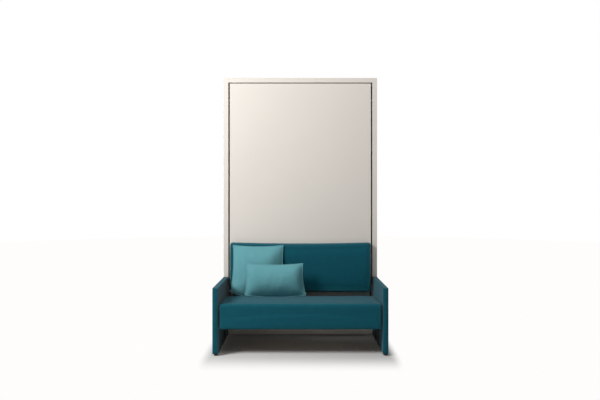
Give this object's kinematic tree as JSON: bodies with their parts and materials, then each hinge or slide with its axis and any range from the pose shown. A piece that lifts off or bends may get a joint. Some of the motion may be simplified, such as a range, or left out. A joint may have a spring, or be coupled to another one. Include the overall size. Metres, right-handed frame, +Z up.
{
  "type": "wall bed with sofa",
  "caption": "Upright cabinet with a fold-down bed; a fixed-arm sofa in front whose seat swings down and forward as the bed tilts over it, with loose pillows.",
  "frame": {"origin": "middle of the footprint, on the floor", "axes": "+Z up, -Y towards the sitter in front of the sofa, +X to the right as seen from the front"},
  "size_m": [1.32, 1.03, 2.22],
  "materials": {
    "lacquered_board": "matt lacquer",
    "back_board": "matt melamine",
    "raw_timber": "sanded",
    "slat_ply": "satin",
    "teal_cloth": "woven",
    "aqua_cloth": "woven",
    "ticking": "knitted",
    "webbing": "woven",
    "black_steel": "powder coated",
    "zinc_steel": "zinc plated",
    "nylon": "moulded",
    "black_plastic": "moulded",
    "rubber": "moulded"
  },
  "bodies": {
    "cabinet": {"cabinet_side_left": "lacquered_board", "cabinet_side_right": "lacquered_board", "cabinet_top": "lacquered_board", "cabinet_plinth": "lacquered_board", "cabinet_back_panel": "back_board", "cabinet_bolts": "zinc_steel", "cabinet_feet": "black_plastic", "wall_rail_top": "raw_timber", "wall_rail_bottom": "raw_timber", "arm_board_left": "raw_timber", "arm_board_right": "raw_timber", "arm_cover_left": "teal_cloth", "arm_cover_right": "teal_cloth", "arm_feet": "black_plastic", "arm_bolts": "zinc_steel", "link_bracket_left": "black_steel", "link_bracket_right": "black_steel", "link_base_pins": "zinc_steel", "pivot_plate_left": "zinc_steel", "pivot_plate_right": "zinc_steel", "pivot_shafts": "zinc_steel", "balance_springs_left": "zinc_steel", "balance_springs_right": "zinc_steel", "spring_anchors": "zinc_steel", "closing_stops": "rubber"},
    "bed": {"bed_panel": "lacquered_board", "panel_screws": "zinc_steel", "bed_rail_left": "black_steel", "bed_rail_right": "black_steel", "bed_cross_rails": "black_steel", "slats": "slat_ply", "slat_holders": "nylon", "mattress": "ticking", "mattress_straps": "webbing", "pivot_arm_left": "black_steel", "pivot_arm_right": "black_steel", "pivot_bushes": "nylon", "leg_brackets": "zinc_steel", "guide_rollers": "nylon", "leg_pins": "zinc_steel", "backrest_cushion": "teal_cloth", "backrest_board": "raw_timber"},
    "foot_leg_left": {"foot_leg_left": "black_steel", "foot_pad_left": "rubber"},
    "foot_leg_right": {"foot_leg_right": "black_steel", "foot_pad_right": "rubber"},
    "front_links": {"link_front_left": "black_steel", "link_front_right": "black_steel"},
    "rear_links": {"link_rear_left": "black_steel", "link_rear_right": "black_steel"},
    "seat": {"seat_cushion": "teal_cloth", "seat_plate_left": "black_steel", "seat_plate_right": "black_steel", "seat_tubes": "black_steel", "seat_base_board": "raw_timber", "seat_pins": "zinc_steel"},
    "pillow_square": {"pillow_square": "aqua_cloth"},
    "pillow_lumbar": {"pillow_lumbar": "aqua_cloth"}
  },
  "joints": [
    {"name": "bed_tilt", "type": "hinge", "parent": "cabinet", "child": "bed", "pos_m": [0, 0.175, 0.38], "axis": [1, 0, 0], "range_deg": [0, 90], "deforming": ["balance_springs_left", "balance_springs_right"]},
    {"name": "foot_leg_left_swing", "type": "hinge", "parent": "bed", "child": "foot_leg_left", "pos_m": [-0.613, 0.178, 1.948], "axis": [1, 0, 0], "range_deg": [-90, 0]},
    {"name": "foot_leg_right_swing", "type": "hinge", "parent": "bed", "child": "foot_leg_right", "pos_m": [0.613, 0.178, 1.948], "axis": [1, 0, 0], "range_deg": [-90, 0]},
    {"name": "front_links_swing", "type": "hinge", "parent": "cabinet", "child": "front_links", "pos_m": [0, -0.215, 0.04], "axis": [1, 0, 0], "range_deg": [0, 60]},
    {"name": "rear_links_swing", "type": "hinge", "parent": "cabinet", "child": "rear_links", "pos_m": [0, -0.08, 0.04], "axis": [1, 0, 0], "range_deg": [0, 60]},
    {"name": "seat_level", "type": "hinge", "parent": "front_links", "child": "seat", "pos_m": [0, -0.215, 0.34], "axis": [1, 0, 0], "range_deg": [-60, 0]},
    {"name": "square_pillow_away", "type": "hinge", "parent": "cabinet", "child": "pillow_square", "pos_m": [0, -0.7522, -0.6422], "axis": [1, 0, 0], "range_deg": [0, 90]},
    {"name": "lumbar_pillow_away", "type": "hinge", "parent": "cabinet", "child": "pillow_lumbar", "pos_m": [0, -1.0062, -0.8285], "axis": [1, 0, 0], "range_deg": [0, 90]}
  ],
  "couplings": [
    {"joint": "foot_leg_left_swing", "follows": "bed_tilt", "ratio": -1},
    {"joint": "foot_leg_right_swing", "follows": "bed_tilt", "ratio": -1},
    {"joint": "front_links_swing", "follows": "bed_tilt", "ratio": 0.6666},
    {"joint": "rear_links_swing", "follows": "bed_tilt", "ratio": 0.6666},
    {"joint": "seat_level", "follows": "bed_tilt", "ratio": -0.6666},
    {"joint": "square_pillow_away", "follows": "bed_tilt", "ratio": 1},
    {"joint": "lumbar_pillow_away", "follows": "bed_tilt", "ratio": 1}
  ]
}
